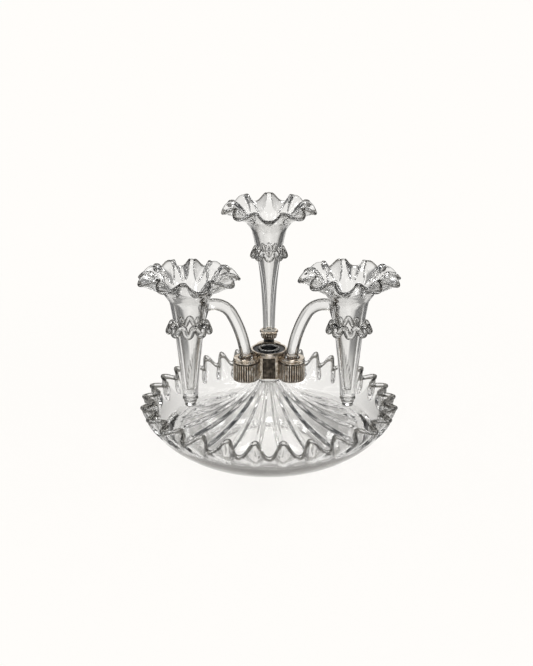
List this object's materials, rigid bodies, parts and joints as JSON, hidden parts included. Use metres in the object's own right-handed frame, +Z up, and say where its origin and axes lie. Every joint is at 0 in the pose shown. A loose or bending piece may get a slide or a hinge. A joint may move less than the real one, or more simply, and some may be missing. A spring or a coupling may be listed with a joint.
{
  "type": "epergne",
  "caption": "Table centrepiece of clear glass: a crimped bowl whose ribbed cone carries a plated mount with removable ruffled trumpet vases, two hung on bent arms.",
  "frame": {"origin": "middle of the bowl's foot ring, on the table", "axes": "+Z up along the bowl's axis, -Y towards the front, between the two hanging trumpets"},
  "size_m": [0.2586, 0.258, 0.2544],
  "materials": {
    "clear_glass": "fire polished",
    "silver_plate": "worn silver plate with brown tarnish in the grooves",
    "dark_plate": "blackened plate",
    "grey_rubber": "matt",
    "cork": "darkened cork",
    "plaster": "matt",
    "black_metal": "blackened"
  },
  "bodies": {
    "bowl": {"bowl": "clear_glass"},
    "bush": {"hub_bush": "grey_rubber"},
    "hub": {"hub_drum": "silver_plate", "left_socket": "silver_plate", "right_socket": "silver_plate", "rear_socket": "silver_plate", "front_panel": "dark_plate", "left_panel": "dark_plate", "right_panel": "dark_plate"},
    "left_sleeve": {"left_cork": "cork"},
    "left_vase": {"left_trumpet": "clear_glass", "left_collar": "clear_glass", "left_arm": "clear_glass"},
    "right_sleeve": {"right_cork": "cork"},
    "right_vase": {"right_trumpet": "clear_glass", "right_collar": "clear_glass", "right_arm": "clear_glass"},
    "rear_sleeve": {"rear_cork": "cork"},
    "rear_vase": {"rear_trumpet": "clear_glass", "rear_collar": "clear_glass", "rear_ferrule": "silver_plate", "ferrule_plaster": "plaster", "rear_stem": "black_metal"}
  },
  "joints": [
    {"name": "hub_lift", "type": "slide", "parent": "bowl", "child": "bush", "axis": [0, 0, 1], "range_m": [0, 0.03]},
    {"name": "hub_turn", "type": "hinge", "parent": "bush", "child": "hub", "pos_m": [0, 0, 0.09], "axis": [0, 0, 1], "continuous": true},
    {"name": "left_lift", "type": "slide", "parent": "hub", "child": "left_sleeve", "axis": [0, 0, 1], "range_m": [0, 0.022]},
    {"name": "left_swivel", "type": "hinge", "parent": "left_sleeve", "child": "left_vase", "pos_m": [-0.02252, -0.013, 0.095], "axis": [0, 0, 1], "range_deg": [-60, 30]},
    {"name": "right_lift", "type": "slide", "parent": "hub", "child": "right_sleeve", "axis": [0, 0, 1], "range_m": [0, 0.022]},
    {"name": "right_swivel", "type": "hinge", "parent": "right_sleeve", "child": "right_vase", "pos_m": [0.02252, -0.013, 0.095], "axis": [0, 0, 1], "range_deg": [-30, 60]},
    {"name": "rear_lift", "type": "slide", "parent": "hub", "child": "rear_sleeve", "axis": [0, 0, 1], "range_m": [0, 0.022]},
    {"name": "rear_turn", "type": "hinge", "parent": "rear_sleeve", "child": "rear_vase", "pos_m": [0, 0.026, 0.095], "axis": [0, 0, 1], "continuous": true}
  ]
}
